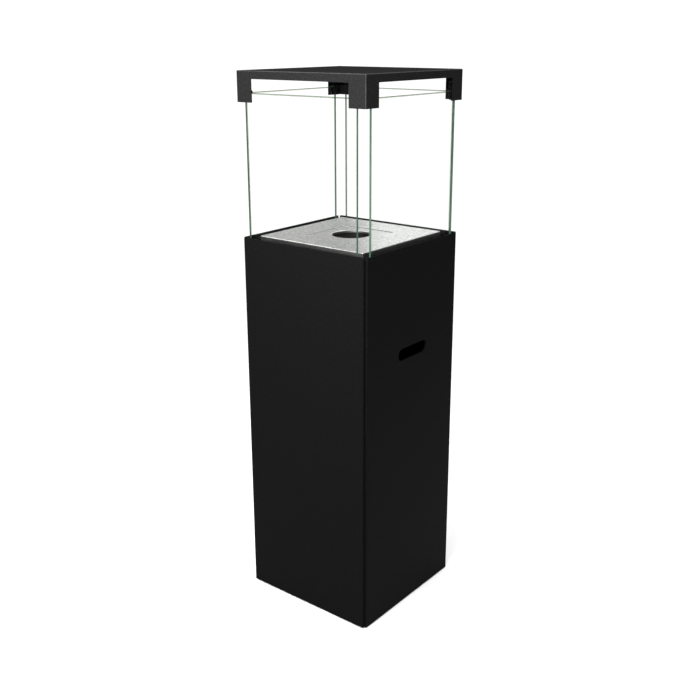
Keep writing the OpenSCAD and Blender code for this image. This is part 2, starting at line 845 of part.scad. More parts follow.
module control_panel() {
    inset = 0.5;
    w = ctrl_w / 2 - inset;
    h = ctrl_h / 2 - inset;
    skin = half - sheet;
    color("#3a3a3a") difference() {
        union() {
            block([-w, ctrl_back, ctrl_z - h], [w, skin, ctrl_z + h]);
            block([-w - ctrl_lip, skin - sheet, ctrl_z - h - ctrl_lip],
                [w + ctrl_lip, skin, ctrl_z + h + ctrl_lip]);
        }
        block([-w + sheet, ctrl_floor, ctrl_z - h + sheet], [w - sheet, half, ctrl_z + h - sheet]);
        translate([-ctrl_x, 0, ctrl_z]) rod_y(boss_r + 0.1, ctrl_back - 1, half);
        translate([ctrl_x, 0, ctrl_z]) rod_y(piezo_r + 0.1, ctrl_back - 1, half);
        at_rivets() rod_y(rivet_r, skin - 3, half);
    }
}

module control_rivets() {
    inner = half - 2 * sheet;
    color("silver") at_rivets() {
        rod_y(rivet_r, inner, half);
        rod_y(rivet_r + 1.2, inner - 1, inner);
    }
}

module tilt_switch() {
    at = [-100, 51];
    w = 36;
    h = 22;
    color("#1a1a1a") block([at[0] - w / 2, at[1] - h / 2, shelf_z - h],
        [at[0] + w / 2, at[1] + h / 2, shelf_z]);
}

base_plate();
rubber_feet();
foot_screws();
bottle_ring();
side_panel_left();
side_panel_right();
rear_panel();
rear_panel_screws();
front_door();
door_stiffeners();
door_knuckles();
door_strike();
hinge_bracket(hinge_zs[0]);  // hinge_bracket_lower
hinge_bracket(hinge_zs[1]);  // hinge_bracket_upper
hinge_pins();
door_magnet();
top_frame();
glass_seat(0);  // glass_seat_front
glass_seat(90);  // glass_seat_right
glass_seat(180);  // glass_seat_rear
glass_seat(270);  // glass_seat_left
pane(0);  // glass_front
pane(90);  // glass_right
pane(180);  // glass_rear
pane(270);  // glass_left
cap();
glass_holder(-1, -1);  // glass_holder_front_left
glass_holder(1, -1);  // glass_holder_front_right
glass_holder(-1, 1);  // glass_holder_rear_left
glass_holder(1, 1);  // glass_holder_rear_right
holder_nuts();
burner_tray();
burner_pot();
burner_head();
mixing_tube();
injector();
injector_bracket();
burner_shelf();
thermocouple();
igniter_electrode();
igniter_lead();
gas_tube();
tube_nuts();
gas_valve();
hose_tail();
valve_spindle();
control_knob();
piezo_body();
piezo_nut();
piezo_button();
control_panel();
control_rivets();
tilt_switch();
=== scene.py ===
"""Square outdoor gas heater with a glass lantern, dressed and lit as in a studio."""

from __future__ import annotations

import json
import logging
import math
from dataclasses import dataclass
from enum import Enum
from typing import Callable, Sequence

import bmesh
import bpy
from mathutils import Matrix, Vector

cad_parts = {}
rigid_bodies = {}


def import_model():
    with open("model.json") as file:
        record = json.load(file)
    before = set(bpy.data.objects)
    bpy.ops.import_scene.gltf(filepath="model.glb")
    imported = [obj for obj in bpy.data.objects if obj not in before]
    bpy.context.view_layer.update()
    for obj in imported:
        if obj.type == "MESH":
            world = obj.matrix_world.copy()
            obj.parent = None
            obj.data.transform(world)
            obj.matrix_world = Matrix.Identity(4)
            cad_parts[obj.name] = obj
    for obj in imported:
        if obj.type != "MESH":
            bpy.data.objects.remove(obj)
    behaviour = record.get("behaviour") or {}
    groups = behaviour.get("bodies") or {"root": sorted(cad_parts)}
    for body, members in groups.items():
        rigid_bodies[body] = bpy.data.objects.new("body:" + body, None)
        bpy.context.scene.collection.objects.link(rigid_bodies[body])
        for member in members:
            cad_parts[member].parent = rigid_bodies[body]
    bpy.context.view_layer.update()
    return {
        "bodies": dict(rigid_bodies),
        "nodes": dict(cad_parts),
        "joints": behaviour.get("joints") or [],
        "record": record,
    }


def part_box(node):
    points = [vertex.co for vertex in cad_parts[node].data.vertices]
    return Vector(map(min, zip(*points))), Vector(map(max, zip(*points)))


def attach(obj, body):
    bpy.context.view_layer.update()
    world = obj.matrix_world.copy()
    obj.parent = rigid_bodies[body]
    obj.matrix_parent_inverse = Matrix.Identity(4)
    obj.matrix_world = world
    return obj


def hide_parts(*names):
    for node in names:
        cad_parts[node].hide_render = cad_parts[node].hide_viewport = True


LOG = logging.getLogger("heater")
MM = 0.001
NEAR = 1e-5
Colour = tuple[float, float, float]
EdgeTest = Callable[[bmesh.types.BMEdge], bool]


class Axis(Enum):
    """A direction of brushing or rolling marks."""

    X = 0
    Y = 1
    Z = 2


# ---------------------------------------------------------------- node graphs


class Graph:
    """A small builder for one material's node tree."""

    def __init__(self, name: str) -> None:
        """Starts a material that has one Principled shader.

        Args:
            name: The material's name.
        """
        self.material = bpy.data.materials.new(name)
        self.material.use_nodes = True
        self.tree = self.material.node_tree
        self.shader = self.tree.nodes["Principled BSDF"]
        self.output = self.tree.nodes["Material Output"]
        self.where = self.tree.nodes.new("ShaderNodeTexCoord").outputs["Object"]

    def add(self, kind: str, **inputs: object) -> bpy.types.Node:
        """Adds a node and fills its inputs.

        Args:
            kind: The node's type without its ShaderNode prefix.
            **inputs: Values or output sockets, by input name with _ for a space.

        Returns:
            The new node.
        """
        node = self.tree.nodes.new("ShaderNode" + kind)
        for name, value in inputs.items():
            self.feed(node.inputs[name.replace("_", " ")], value)
        return node

    def feed(self, socket: bpy.types.NodeSocket, value: object) -> None:
        """Links an output to a socket, or sets the socket's own value."""
        if isinstance(value, bpy.types.NodeSocket):
            self.tree.links.new(value, socket)
        else:
            socket.default_value = value

    def set(self, **inputs: object) -> None:
        """Fills inputs of the Principled shader, by name with _ for a space."""
        for name, value in inputs.items():
            self.feed(self.shader.inputs[name.replace("_", " ")], value)

    def stretched(self, scale: Sequence[float]) -> bpy.types.NodeSocket:
        """Returns the object's coordinates, in metres, times a scale for each axis."""
        return self.add("Mapping", Vector=self.where, Scale=tuple(scale)).outputs["Vector"]

    def noise(self, scale: float, detail: float = 2.0, rough: float = 0.5,
              where: bpy.types.NodeSocket | None = None) -> bpy.types.NodeSocket:
        """Makes a noise from 0 to 1.

        Args:
            scale: Marks to the metre.
            detail: Octaves.
            rough: Strength of the finer octaves.
            where: Coordinates, or None for the object's own.

        Returns:
            The noise's value.
        """
        node = self.add("TexNoise", Vector=where or self.where, Scale=scale, Detail=detail,
                        Roughness=rough)
        return node.outputs["Fac"]

    def spread(self, value: bpy.types.NodeSocket, low: float, high: float,
               start: float = 0.3, end: float = 0.7) -> bpy.types.NodeSocket:
        """Returns value spread from start..end to low..high."""
        node = self.add("MapRange", Value=value)
        for name, number in zip(("From Min", "From Max", "To Min", "To Max"),
                                (start, end, low, high)):
            node.inputs[name].default_value = number
        return node.outputs["Result"]

    def blend(self, amount: bpy.types.NodeSocket, first: Colour, second: Colour) -> bpy.types.NodeSocket:
        """Returns first where amount is 0 and second where it is 1."""
        node = self.tree.nodes.new("ShaderNodeMix")
        node.data_type = "RGBA"
        self.feed(node.inputs[0], amount)
        node.inputs[6].default_value = (*first, 1.0)
        node.inputs[7].default_value = (*second, 1.0)
        return node.outputs[2]

    def mixed(self, share: object, first: bpy.types.Node, second: bpy.types.Node) -> None:
        """Makes the surface from two shaders.

        Args:
            share: The second shader's part, a number or an output socket.
            first: The first shader's node.
            second: The second shader's node.
        """
        mix = self.tree.nodes.new("ShaderNodeMixShader")
        self.feed(mix.inputs[0], share)
        self.feed(mix.inputs[1], first.outputs["BSDF"])
        self.feed(mix.inputs[2], second.outputs["BSDF"])
        self.feed(self.output.inputs["Surface"], mix.outputs["Shader"])

    def relief(self, height: bpy.types.NodeSocket, strength: float, depth: float) -> None:
        """Raises the surface by a height.

        Args:
            height: The height, from 0 to 1.
            strength: How much of the relief shows.
            depth: Its full depth in metres.
        """
        bump = self.add("Bump", Height=height, Strength=strength, Distance=depth)
        self.set(Normal=bump.outputs["Normal"])


def times(colour: Colour, factor: float) -> Colour:
    """Returns a colour made lighter or darker by a factor."""
    return (colour[0] * factor, colour[1] * factor, colour[2] * factor)


# ------------------------------------------------------------------- finishes


@dataclass(frozen=True)
class PowderCoat:
    """Baked powder paint with a fine orange-peel grain.

    Attributes:
        name: The material's name.
        tone: Its colour.
        gloss: Strength of its reflections.
        roughness: How soft they are.
        grain: Marks to the metre.
        mottle: How far the colour strays to either side.
    """

    name: str
    tone: Colour
    gloss: float = 0.2
    roughness: float = 0.5
    grain: float = 900.0
    mottle: float = 0.22

    def material(self) -> bpy.types.Material:
        """Returns the painted material."""
        g = Graph(self.name)
        grain = g.noise(self.grain, 3.0, 0.6)
        cloud = g.noise(210.0, 2.0, 0.6)
        speck = g.spread(cloud, 0.0, 1.0, 0.35, 0.65)
        g.set(
            Base_Color=g.blend(speck, times(self.tone, 1 - self.mottle), times(self.tone, 1 + self.mottle)),
            Roughness=g.spread(grain, self.roughness - 0.06, self.roughness + 0.08),
            Specular_IOR_Level=self.gloss,
        )
        g.relief(grain, 0.35, 0.12 * MM)
        return g.material


@dataclass(frozen=True)
class BrushedSteel:
    """Sheet steel with brushing marks along one axis.

    Attributes:
        name: The material's name.
        tone: Its colour.
        along: The axis that the marks follow.
        roughness: How soft its reflections are.
        marks: Marks to the metre.
        speckle: How far the colour strays to either side.
    """

    name: str
    tone: Colour
    along: Axis = Axis.X
    roughness: float = 0.32
    marks: float = 1100.0
    speckle: float = 0.12

    def material(self) -> bpy.types.Material:
        """Returns the brushed material."""
        g = Graph(self.name)
        scale = [1.0, 1.0, 1.0]
        scale[self.along.value] = 0.03
        brushed = g.noise(self.marks, 3.0, 0.6, g.stretched(scale))
        cloud = g.noise(200.0, 3.0, 0.7)
        tint = g.spread(cloud, 0.0, 1.0, 0.32, 0.68)
        g.set(
            Base_Color=g.blend(tint, times(self.tone, 1 - self.speckle), times(self.tone, 1 + self.speckle)),
            Metallic=1.0,
            Roughness=g.spread(brushed, self.roughness - 0.09, self.roughness + 0.11),
        )
        g.relief(brushed, 0.25, 0.05 * MM)
        return g.material


@dataclass(frozen=True)
class Spangled:
    """Hot-dip galvanised sheet with crystal spangles.

    Attributes:
        name: The material's name.
        tone: Its colour.
        roughness: How soft its reflections are.
    """

    name: str
    tone: Colour
    roughness: float = 0.42

    def material(self) -> bpy.types.Material:
        """Returns the galvanised material."""
        g = Graph(self.name)
        cells = g.add("TexVoronoi", Vector=g.where, Scale=95.0)
        shade = g.add("RGBToBW", Color=cells.outputs["Color"]).outputs["Val"]
        g.set(
            Base_Color=g.blend(shade, times(self.tone, 0.78), times(self.tone, 1.15)),
            Metallic=1.0,
            Roughness=g.spread(shade, self.roughness - 0.08, self.roughness + 0.1, 0.0, 1.0),
        )
        g.relief(g.noise(700.0), 0.1, 0.05 * MM)
        return g.material


@dataclass(frozen=True)
class Metal:
    """Plain metal: plated, cast, drawn or turned.

    Attributes:
        name: The material's name.
        tone: Its colour.
        roughness: How soft its reflections are.
        stain: Colour of its patches, or None for a slightly darker tone.
        texture: Marks to the metre.
        relief: How much of its texture stands out.
    """

    name: str
    tone: Colour
    roughness: float
    stain: Colour | None = None
    texture: float = 500.0
    relief: float = 0.1

    def material(self) -> bpy.types.Material:
        """Returns the metal, stained in patches where it has a stain."""
        g = Graph(self.name)
        fine = g.noise(self.texture, 3.0, 0.6)
        patch = g.spread(g.noise(38.0, 3.0, 0.6), 0.0, 1.0, 0.4, 0.7)
        g.set(
            Base_Color=g.blend(patch, self.tone, self.stain or times(self.tone, 0.86)),
            Metallic=1.0,
            Roughness=g.spread(fine, self.roughness - 0.07, self.roughness + 0.1),
        )
        g.relief(fine, self.relief, 0.1 * MM)
        return g.material


@dataclass(frozen=True)
class Moulded:
    """Plastic, rubber or ceramic with a fine skin.

    Attributes:
        name: The material's name.
        tone: Its colour.
        roughness: How soft its reflections are.
        gloss: Strength of its reflections.
        skin: Marks to the metre.
    """

    name: str
    tone: Colour
    roughness: float
    gloss: float = 0.4
    skin: float = 1300.0

    def material(self) -> bpy.types.Material:
        """Returns the moulded material."""
        g = Graph(self.name)
        fine = g.noise(self.skin, 2.0, 0.5)
        broad = g.spread(g.noise(60.0, 2.0, 0.5), 0.0, 1.0)
        g.set(
            Base_Color=g.blend(broad, times(self.tone, 0.88), times(self.tone, 1.12)),
            Roughness=g.spread(fine, self.roughness - 0.05, self.roughness + 0.07),
            Specular_IOR_Level=self.gloss,
        )
        g.relief(fine, 0.2, 0.05 * MM)
        return g.material


@dataclass(frozen=True)
class ClearGlass:
    """The clear faces of a toughened pane.

    Attributes:
        name: The material's name.
        tint: What is left of light that passes through one face.
        straight: Share of light mirrored by a face seen straight on.
        grazing: Share mirrored at a flat angle.
    """

    name: str
    tint: Colour = (0.996, 0.999, 0.997)
    straight: float = 0.012
    grazing: float = 0.55

    def material(self) -> bpy.types.Material:
        """Returns see-through glass that mirrors a little, and more at a flat angle."""
        g = Graph(self.name)
        smear = g.spread(g.noise(14.0, 3.0, 0.6), 0.02, 0.05)
        clear = g.add("BsdfTransparent", Color=(*self.tint, 1.0))
        mirror = g.add("BsdfGlossy", Color=(0.9, 0.94, 0.92, 1.0), Roughness=smear)
        facing = g.add("LayerWeight", Blend=0.5).outputs["Facing"]
        steep = g.tree.nodes.new("ShaderNodeMath")
        steep.operation = "POWER"
        g.feed(steep.inputs[0], facing)
        steep.inputs[1].default_value = 5.0
        share = g.spread(steep.outputs["Value"], self.straight, self.grazing, 0.0, 1.0)
        g.mixed(share, clear, mirror)
        g.tree.nodes.remove(g.shader)
        return g.material


@dataclass(frozen=True)
class GroundEdge:
    """The ground green edge of float glass.

    Attributes:
        name: The material's name.
        deep: Its colour where it looks deepest.
        pale: Its colour where it looks palest.
        glow: Share of light that comes through from behind.
    """

    name: str
    deep: Colour = (0.022, 0.070, 0.046)
    pale: Colour = (0.100, 0.165, 0.125)
    glow: float = 0.5

    def material(self) -> bpy.types.Material:
        """Returns the edge, deeper and paler by turns along its length."""
        g = Graph(self.name)
        bands = g.spread(g.noise(7.0, 2.0, 0.5), 0.0, 1.0, 0.36, 0.66)
        g.set(
            Base_Color=g.blend(bands, self.deep, self.pale),
            Roughness=g.spread(g.noise(900.0), 0.14, 0.3),
            Specular_IOR_Level=0.5,
        )
        g.relief(g.noise(1500.0), 0.1, 0.03 * MM)
        lit = g.add("BsdfTranslucent", Color=(*self.pale, 1.0))
        g.mixed(self.glow, g.shader, lit)
        return g.material


FINISHES = {
    "powder_black": PowderCoat("Powder Black", (0.0046, 0.0046, 0.0047), gloss=0.01, roughness=0.5),
    "powder_cap": PowderCoat("Powder Cap Grey", (0.0120, 0.0120, 0.0121), gloss=0.0, roughness=0.5),
    "inner_black": PowderCoat("Inner Matt Black", (0.010, 0.010, 0.010), gloss=0.04, roughness=0.6),
    "stainless": BrushedSteel("Brushed Stainless", (0.60, 0.60, 0.59), speckle=0.42),
    "galvanised": Spangled("Galvanised Sheet", (0.45, 0.46, 0.47)),
    "zinc": Metal("Zinc Plate", (0.62, 0.62, 0.60), 0.28),
    "seal": Moulded("Black Silicone", (0.004, 0.004, 0.004), 0.6, 0.1),
    "foot_rubber": Moulded("Foot Rubber", (0.02, 0.02, 0.02), 0.75, 0.25),
    "magnet_case": Moulded("Catch Housing", (0.025, 0.025, 0.025), 0.5),
    "burner_iron": Metal("Burner Iron", (0.022, 0.021, 0.020), 0.55, stain=(0.016, 0.012, 0.011), relief=0.4),
    "brass": Metal("Turned Brass", (0.66, 0.47, 0.19), 0.25, texture=800.0),
    "ceramic": Moulded("Glazed Ceramic", (0.80, 0.77, 0.70), 0.18, 0.5),
    "lead_sleeve": Moulded("Lead Sleeve", (0.30, 0.03, 0.02), 0.5),
    "tube_aluminium": Metal("Drawn Aluminium", (0.72, 0.72, 0.73), 0.3),
    "valve_alloy": Metal("Die-cast Alloy", (0.50, 0.51, 0.52), 0.45, texture=900.0, relief=0.25),
    "knob_plastic": Moulded("Knob Plastic", (0.018, 0.018, 0.018), 0.42),
    "button_plastic": Moulded("Red Button Plastic", (0.45, 0.02, 0.012), 0.22, 0.5),
}
# Painted highlight: a lighter paint for the cap's rounded folds, standing in for the light they catch.
CAP_FOLD_HIGHLIGHT = PowderCoat("Painted Fold Highlight", (0.034, 0.034, 0.034), gloss=0.02, roughness=0.4)
# A far darker paint for the inside of the cap than for its outside.
CAP_INSIDE_DARK = PowderCoat("Dark Cap Inside", (0.0016, 0.0016, 0.0016), gloss=0.0, roughness=0.8)
# Painted shade: a much darker, rougher steel for the tray's steep faces (pressed slope, roll and skirt), so
# they read darker than their light would make them.
SHADED_STEEP_STEEL = BrushedSteel("Rough Stainless With Painted Shade", (0.12, 0.12, 0.118), roughness=0.45)


class Paints:
    """Makes each finish once and hands it out by its slot's name."""

    def __init__(self) -> None:
        """Starts with nothing made."""
        self.made: dict[str, bpy.types.Material] = {}

    def of(self, slot: str) -> bpy.types.Material:
        """Returns the material of a slot of the record."""
        if slot not in self.made:
            self.made[slot] = FINISHES[slot].material()
        return self.made[slot]


# --------------------------------------------------------------------- meshes


@dataclass
class Ring:
    """One level of a lofted sheet: a square or a circle round the Z axis.

    Attributes:
        half: Half the square's width, or the circle's radius.
        corner: Radius of the square's corners. A circle's is the same as half.
        z: Height.
    """

    half: float
    corner: float
    z: float

    def points(self, arc: int) -> list[Vector]:
        """Returns the ring's points, with arc + 1 of them round each corner."""
        found = []
        for quarter in range(4):
            turn = Matrix.Rotation(quarter * math.pi / 2, 3, "Z")
            middle = self.half - self.corner
            for step in range(arc + 1):
                angle = step / arc * math.pi / 2
                found.append(turn @ Vector((middle + self.corner * math.cos(angle),
                                            middle + self.corner * math.sin(angle), self.z)))
        return found


def fold(half: float, corner: float, z: float, radius: float, start: float, end: float,
         steps: int = 4) -> list[Ring]:
    """Rings round a rolled edge.

    Args:
        half: Half width at the middle of the roll.
        corner: The ring's corner radius there.
        z: Height of the middle of the roll.
        radius: Radius of the roll.
        start: First angle in degrees; 0 points outwards and 90 up.
        end: Last angle in degrees.
        steps: Stretches between the two.

    Returns:
        The rings in order.
    """
    rings = []
    for step in range(steps + 1):
        angle = math.radians(start + (end - start) * step / steps)
        out = radius * math.cos(angle)
        rings.append(Ring(half + out, max(corner + out, NEAR), z + radius * math.sin(angle)))
    return rings


def loft(name: str, rings: Sequence[Ring], arc: int = 12) -> bpy.types.Object:
    """Joins rings into one closed skin; the last ring joins the first.

    Args:
        name: The new object's name.
        rings: The rings in order, outer skin first and inner skin back.
        arc: Stretches round each quarter.

    Returns:
        The lofted object.
    """
    bm = bmesh.new()
    rows = [[bm.verts.new(p) for p in ring.points(arc)] for ring in rings]
    count = len(rows[0])
    for lower, upper in zip(rows, rows[1:] + rows[:1]):
        for i in range(count):
            j = (i + 1) % count
            bm.faces.new((lower[i], lower[j], upper[j], upper[i]))
    bmesh.ops.recalc_face_normals(bm, faces=bm.faces)
    return finished(name, bm)


def bent(route: Sequence[Vector], bend: float, steps: int = 8) -> list[Vector]:
    """Rounds the right-angled corners of a route.

    Args:
        route: Its corners in order.
        bend: Radius of the bends, less where a stretch is too short for it.
        steps: Stretches round each bend.

    Returns:
        The points along the rounded route.
    """
    spots = [route[0]]
    for before, corner, after in zip(route, route[1:], route[2:]):
        back, onward = before - corner, after - corner
        cut = min(bend, 0.48 * back.length, 0.48 * onward.length)
        back.normalize()
        onward.normalize()
        centre = corner + (back + onward) * cut
        for step in range(steps + 1):
            turn = math.radians(90) * step / steps
            spots.append(centre - onward * cut * math.cos(turn) - back * cut * math.sin(turn))
    return spots + [route[-1]]


def swept(name: str, spots: Sequence[Vector], radii: Sequence[float],
          sides: int = 20) -> bpy.types.Object:
    """Sweeps a round section along a route.

    Args:
        name: The new object's name.
        spots: The points along the route.
        radii: The section's radius at each point.
        sides: Sides of the section.

    Returns:
        The swept object, closed at both ends.
    """
    bm = bmesh.new()
    rings = []
    side = (spots[1] - spots[0]).orthogonal()
    for i, (spot, radius) in enumerate(zip(spots, radii)):
        ahead = (spots[min(i + 1, len(spots) - 1)] - spots[max(i - 1, 0)]).normalized()
        side = (side - ahead * side.dot(ahead)).normalized()
        other = ahead.cross(side)
        ring = []
        for k in range(sides):
            turn = math.radians(360) * k / sides
            ring.append(bm.verts.new(spot + (side * math.cos(turn) + other * math.sin(turn)) * radius))
        rings.append(ring)
    for lower, upper in zip(rings, rings[1:]):
        for i in range(sides):
            j = (i + 1) % sides
            bm.faces.new((lower[i], lower[j], upper[j], upper[i]))
    bm.faces.new(rings[0])
    bm.faces.new(rings[-1])
    bmesh.ops.recalc_face_normals(bm, faces=bm.faces)
    return finished(name, bm)


def finished(name: str, bm: bmesh.types.BMesh, sharp: float = 32.0) -> bpy.types.Object:
    """Turns a bmesh into a linked, smooth-shaded object.

    Args:
        name: The object's name.
        bm: The mesh, which is freed.
        sharp: Edges bent by more degrees than this stay crisp.

    Returns:
        The new object.
    """
    mesh = bpy.data.meshes.new(name)
    bm.to_mesh(mesh)
    bm.free()
    mesh.polygons.foreach_set("use_smooth", [True] * len(mesh.polygons))
    mesh.set_sharp_from_angle(angle=math.radians(sharp))
    piece = bpy.data.objects.new(name, mesh)
    bpy.context.scene.collection.objects.link(piece)
    weighted = piece.modifiers.new("Flat faces", "WEIGHTED_NORMAL")
    weighted.keep_sharp = True
    return piece


def sharp_convex(edge: bmesh.types.BMEdge) -> bool:
    """True for an outward edge of 40 degrees or more."""
    return edge.is_manifold and edge.is_convex and edge.calc_face_angle() > math.radians(40)


# ----------------------------------------------------------------- the builder


@dataclass
class Workshop:
    """What every sub-assembly needs: the frame and the finishes.

    Attributes:
        paints: The finishes.
    """

    frame: dict
    paints: Paints

    def __post_init__(self) -> None:
        """Reads each node's slot and body from the record."""
        record = self.frame["record"]
        self.slots = {p["node"]: p["material_slot"] for p in record["subparts"]}
        self.body_of = {n: body for body, nodes in record["behaviour"]["bodies"].items() for n in nodes}

    def settle(self, piece: bpy.types.Object, node: str, slot: str | None = None) -> bpy.types.Object:
        """Finishes a new piece that stands for a CAD node.

        Args:
            piece: The new piece, in place.
            node: The CAD node that it replaces.
            slot: The record's slot of its finish, or None for the node's own.

        Returns:
            The piece.
        """
        slot = slot or self.slots[node]
        if not piece.data.materials:
            piece.data.materials.append(self.paints.of(slot))
        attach(piece, self.body_of[node])
        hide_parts(node)
        LOG.info("made %s for %s", piece.name, node)
        return piece

    def rounded(self, node: str, radius: float, pick: EdgeTest = sharp_convex, segments: int = 3,
                name: str | None = None) -> bpy.types.Object:
        """Makes a copy of a CAD node's shape with eased edges.

        Args:
            node: The CAD node.
            radius: The edges' radius in metres.
            pick: Says which edges are eased.
            segments: Stretches round each edge.
            name: The piece's name, or None to name it after the node.

        Returns:
            The new piece.
        """
        bm = bmesh.new()
        bm.from_mesh(self.frame["nodes"][node].data)
        bmesh.ops.remove_doubles(bm, verts=bm.verts, dist=2e-6)
        bmesh.ops.dissolve_limit(bm, angle_limit=math.radians(0.4), verts=bm.verts, edges=bm.edges)
        edges = [e for e in bm.edges if sharp_convex(e) and pick(e)]
        bmesh.ops.bevel(bm, geom=edges, offset=radius, offset_type="OFFSET", segments=segments,
                        profile=0.5, affect="EDGES", clamp_overlap=True, miter_outer="SHARP")
        bmesh.ops.remove_doubles(bm, verts=bm.verts, dist=1e-6)
        for layer in list(bm.loops.layers.uv):
            bm.loops.layers.uv.remove(layer)
        return self.settle(finished(name or node + "_eased", bm), node)


def level_folds(node: str, side: int) -> EdgeTest:
    """Makes the test for a panel's folded upper and lower edges.

    Args:
        node: The panel's CAD node.
        side: -1 if its outer face looks to -Y, 1 if it looks to +Y.

    Returns:
        A test that is true on the outer face's level edges.
    """
    low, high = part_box(node)
    reach = (low if side < 0 else high).y * side - 3 * MM

    def on_fold(edge: bmesh.types.BMEdge) -> bool:
        """True on the outer face's upper and lower edges."""
        a, b = (v.co for v in edge.verts)
        on_face = min(a.y * side, b.y * side) > reach
        level = abs(a.z - b.z) < NEAR
        return on_face and level and min(abs(a.z - high.z), abs(a.z - low.z)) < 10 * NEAR

    return on_fold


# -------------------------------------------------------------- sub-assemblies


@dataclass
class Column:
    """The painted steel body: panels, base, bottle ring, top frame and feet.

    Attributes:
        shop: The workshop.
        fold_r: Radius of the rear panel's folded upper and lower edges.
        burr: Radius left on the sheets' cut edges.
    """

    shop: Workshop
    fold_r: float = 1.6 * MM
    burr: float = 0.3 * MM

    def build(self) -> None:
        """Builds the whole body."""
        self.panels()
        for node in ("base_plate", "bottle_ring", "top_frame"):
            self.shop.rounded(node, self.burr, segments=2)
        self.shop.rounded("rubber_feet", 1.0 * MM)
        self.shop.rounded("rear_panel_screws", 0.7 * MM)
        self.shop.rounded("foot_screws", 0.4 * MM)

    def panels(self) -> None:
        """Eases the side panels' cut edges and rounds the rear panel's folds."""
        for node in ("side_panel_left", "side_panel_right"):
            self.shop.rounded(node, self.burr, segments=2)
        self.shop.rounded("rear_panel", self.fold_r, level_folds("rear_panel", 1), segments=4)


@dataclass
class Door:
    """The bottle door with its stiffeners, hinges and catch.

    Attributes:
        shop: The workshop.
        fold_r: Radius of its folded upper and lower edges.
    """

    shop: Workshop
    fold_r: float = 1.6 * MM

    def build(self) -> None:
        """Builds the door and what carries and catches it."""
        self.shop.rounded("front_door", self.fold_r, level_folds("front_door", -1), segments=4)
        for node in ("door_stiffeners", "door_knuckles", "door_strike", "hinge_bracket_lower",
                     "hinge_bracket_upper", "door_magnet"):
            self.shop.rounded(node, 0.35 * MM, segments=2)
        self.shop.rounded("hinge_pins", 0.3 * MM, segments=2)


@dataclass
class Lantern:
    """The four panes in their seats and holders below the cap.

    Attributes:
        shop: The workshop.
        cap_r: Radius of the cap's folded edges.
        sheet: Thickness of the cap's sheet.
        square_on: A normal's least part along an axis that its face is square to.
        arris: Width of a pane's ground arris.
        band: Width of the deeper-looking strip beside a pane's edges.
    """

    shop: Workshop
    cap_r: float = 2.4 * MM
    sheet: float = 2 * MM
    square_on: float = 0.97
    arris: float = 0.8 * MM
    band: float = 3.2 * MM

    def build(self) -> None:
        """Builds the cap, the panes and what holds them."""
        self.cap()
        clear = ClearGlass("Clear Glass").material()
        strip = ClearGlass("Glass Beside The Edge", tint=(0.68, 0.71, 0.635)).material()
        edge = GroundEdge("Ground Glass Edge").material()
        for side in ("front", "right", "rear", "left"):
            self.pane("glass_" + side, (clear, edge, strip))
            self.shop.rounded("glass_seat_" + side, 0.3 * MM, segments=2)
        for corner in ("front_left", "front_right", "rear_left", "rear_right"):
            self.shop.rounded("glass_holder_" + corner, 0.6 * MM)
        self.shop.rounded("holder_nuts", 0.4 * MM, segments=2)

    def cap(self) -> None:
        """Folds the cap's upper edges and corners, paints a highlight on the folds and gives its inside a
        much darker paint.
        """
        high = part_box("cap")[1]

        def folded(edge: bmesh.types.BMEdge) -> bool:
            """True on the edges where two outer planes meet."""
            a, b = (v.co for v in edge.verts)
            planes = [abs(abs(a[i]) - high.x) < 10 * NEAR and abs(a[i] - b[i]) < NEAR for i in (0, 1)]
            planes.append(abs(a.z - high.z) < 10 * NEAR and abs(a.z - b.z) < NEAR)
            return sum(planes) == 2

        cap = self.shop.rounded("cap", self.cap_r, folded, segments=5)
        # Second slot: the far darker inside paint.
        cap.data.materials.append(CAP_INSIDE_DARK.material())
        # Third slot: the lighter paint that paints a highlight on the folds.
        cap.data.materials.append(CAP_FOLD_HIGHLIGHT.material())
        for face in cap.data.polygons:
            across = face.center.x * face.normal.x + face.center.y * face.normal.y
            ceiling = face.normal.z < -self.square_on and face.center.z > high.z - 2 * self.sheet
            # Inward faces and the ceiling take the far darker inside paint.
            if across < -MM or ceiling:
                face.material_index = 1
            # Faces square to no axis are the rounded folds; they get the painted highlight.
            elif max(abs(c) for c in face.normal) < self.square_on:
                face.material_index = 2

    def pane(self, node: str, finishes: Sequence[bpy.types.Material]) -> None:
        """Makes one pane with arrised edges.

        Args:
            node: The pane's CAD node.
            finishes: Those of its faces, of its edges and of the strips beside them.
        """
        low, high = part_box(node)
        size = high - low
        thin = 0 if size.x < size.y else 1
        flat_area = 0.5 * size.z * max(size.x, size.y)
        bm = bmesh.new()
        bmesh.ops.create_cube(bm, size=1.0)
        bmesh.ops.scale(bm, vec=size, verts=bm.verts)
        bmesh.ops.translate(bm, vec=(low + high) / 2, verts=bm.verts)
        bmesh.ops.bevel(bm, geom=list(bm.edges), offset=self.arris, offset_type="OFFSET", segments=2,
                        profile=0.7, affect="EDGES", clamp_overlap=True)
        bm.normal_update()
        flat = [f for f in bm.faces if abs(f.normal[thin]) > 0.999 and f.calc_area() > flat_area]
        for face in bm.faces:
            face.material_index = 0 if face in flat else 1
        for face in bmesh.ops.inset_individual(bm, faces=flat, thickness=self.band, depth=0.0)["faces"]:
            face.material_index = 2
        piece = finished(node + "_pane", bm)
        for finish in finishes:
            piece.data.materials.append(finish)
        self.shop.settle(piece, node)


